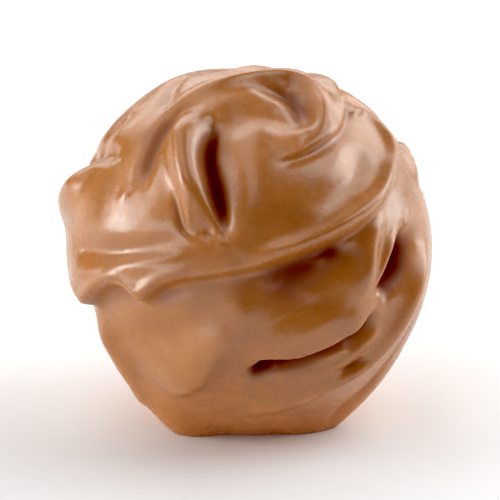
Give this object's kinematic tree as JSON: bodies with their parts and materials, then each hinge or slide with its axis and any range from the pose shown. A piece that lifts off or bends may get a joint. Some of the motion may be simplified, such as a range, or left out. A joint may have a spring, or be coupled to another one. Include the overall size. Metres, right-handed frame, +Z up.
{
  "type": "chocolate praline",
  "caption": "Hand-dipped milk chocolate praline: a rounded ball with a poured cap, a curled swirl, drips and folds, on a small flat foot.",
  "frame": {"origin": "centre of the bounding box's footprint at the flat foot the praline rests on", "axes": "+Z up; the shown side with the curl and the crevice faces -Y, tilted up; +X to the viewer's right, the longest extent"},
  "size_m": [0.0302, 0.0296, 0.0294],
  "materials": {
    "milk_chocolate": "milk chocolate with a soft satin gloss, warm red-brown in its creases"
  },
  "bodies": {
    "root": {"praline": "milk_chocolate"}
  },
  "joints": []
}
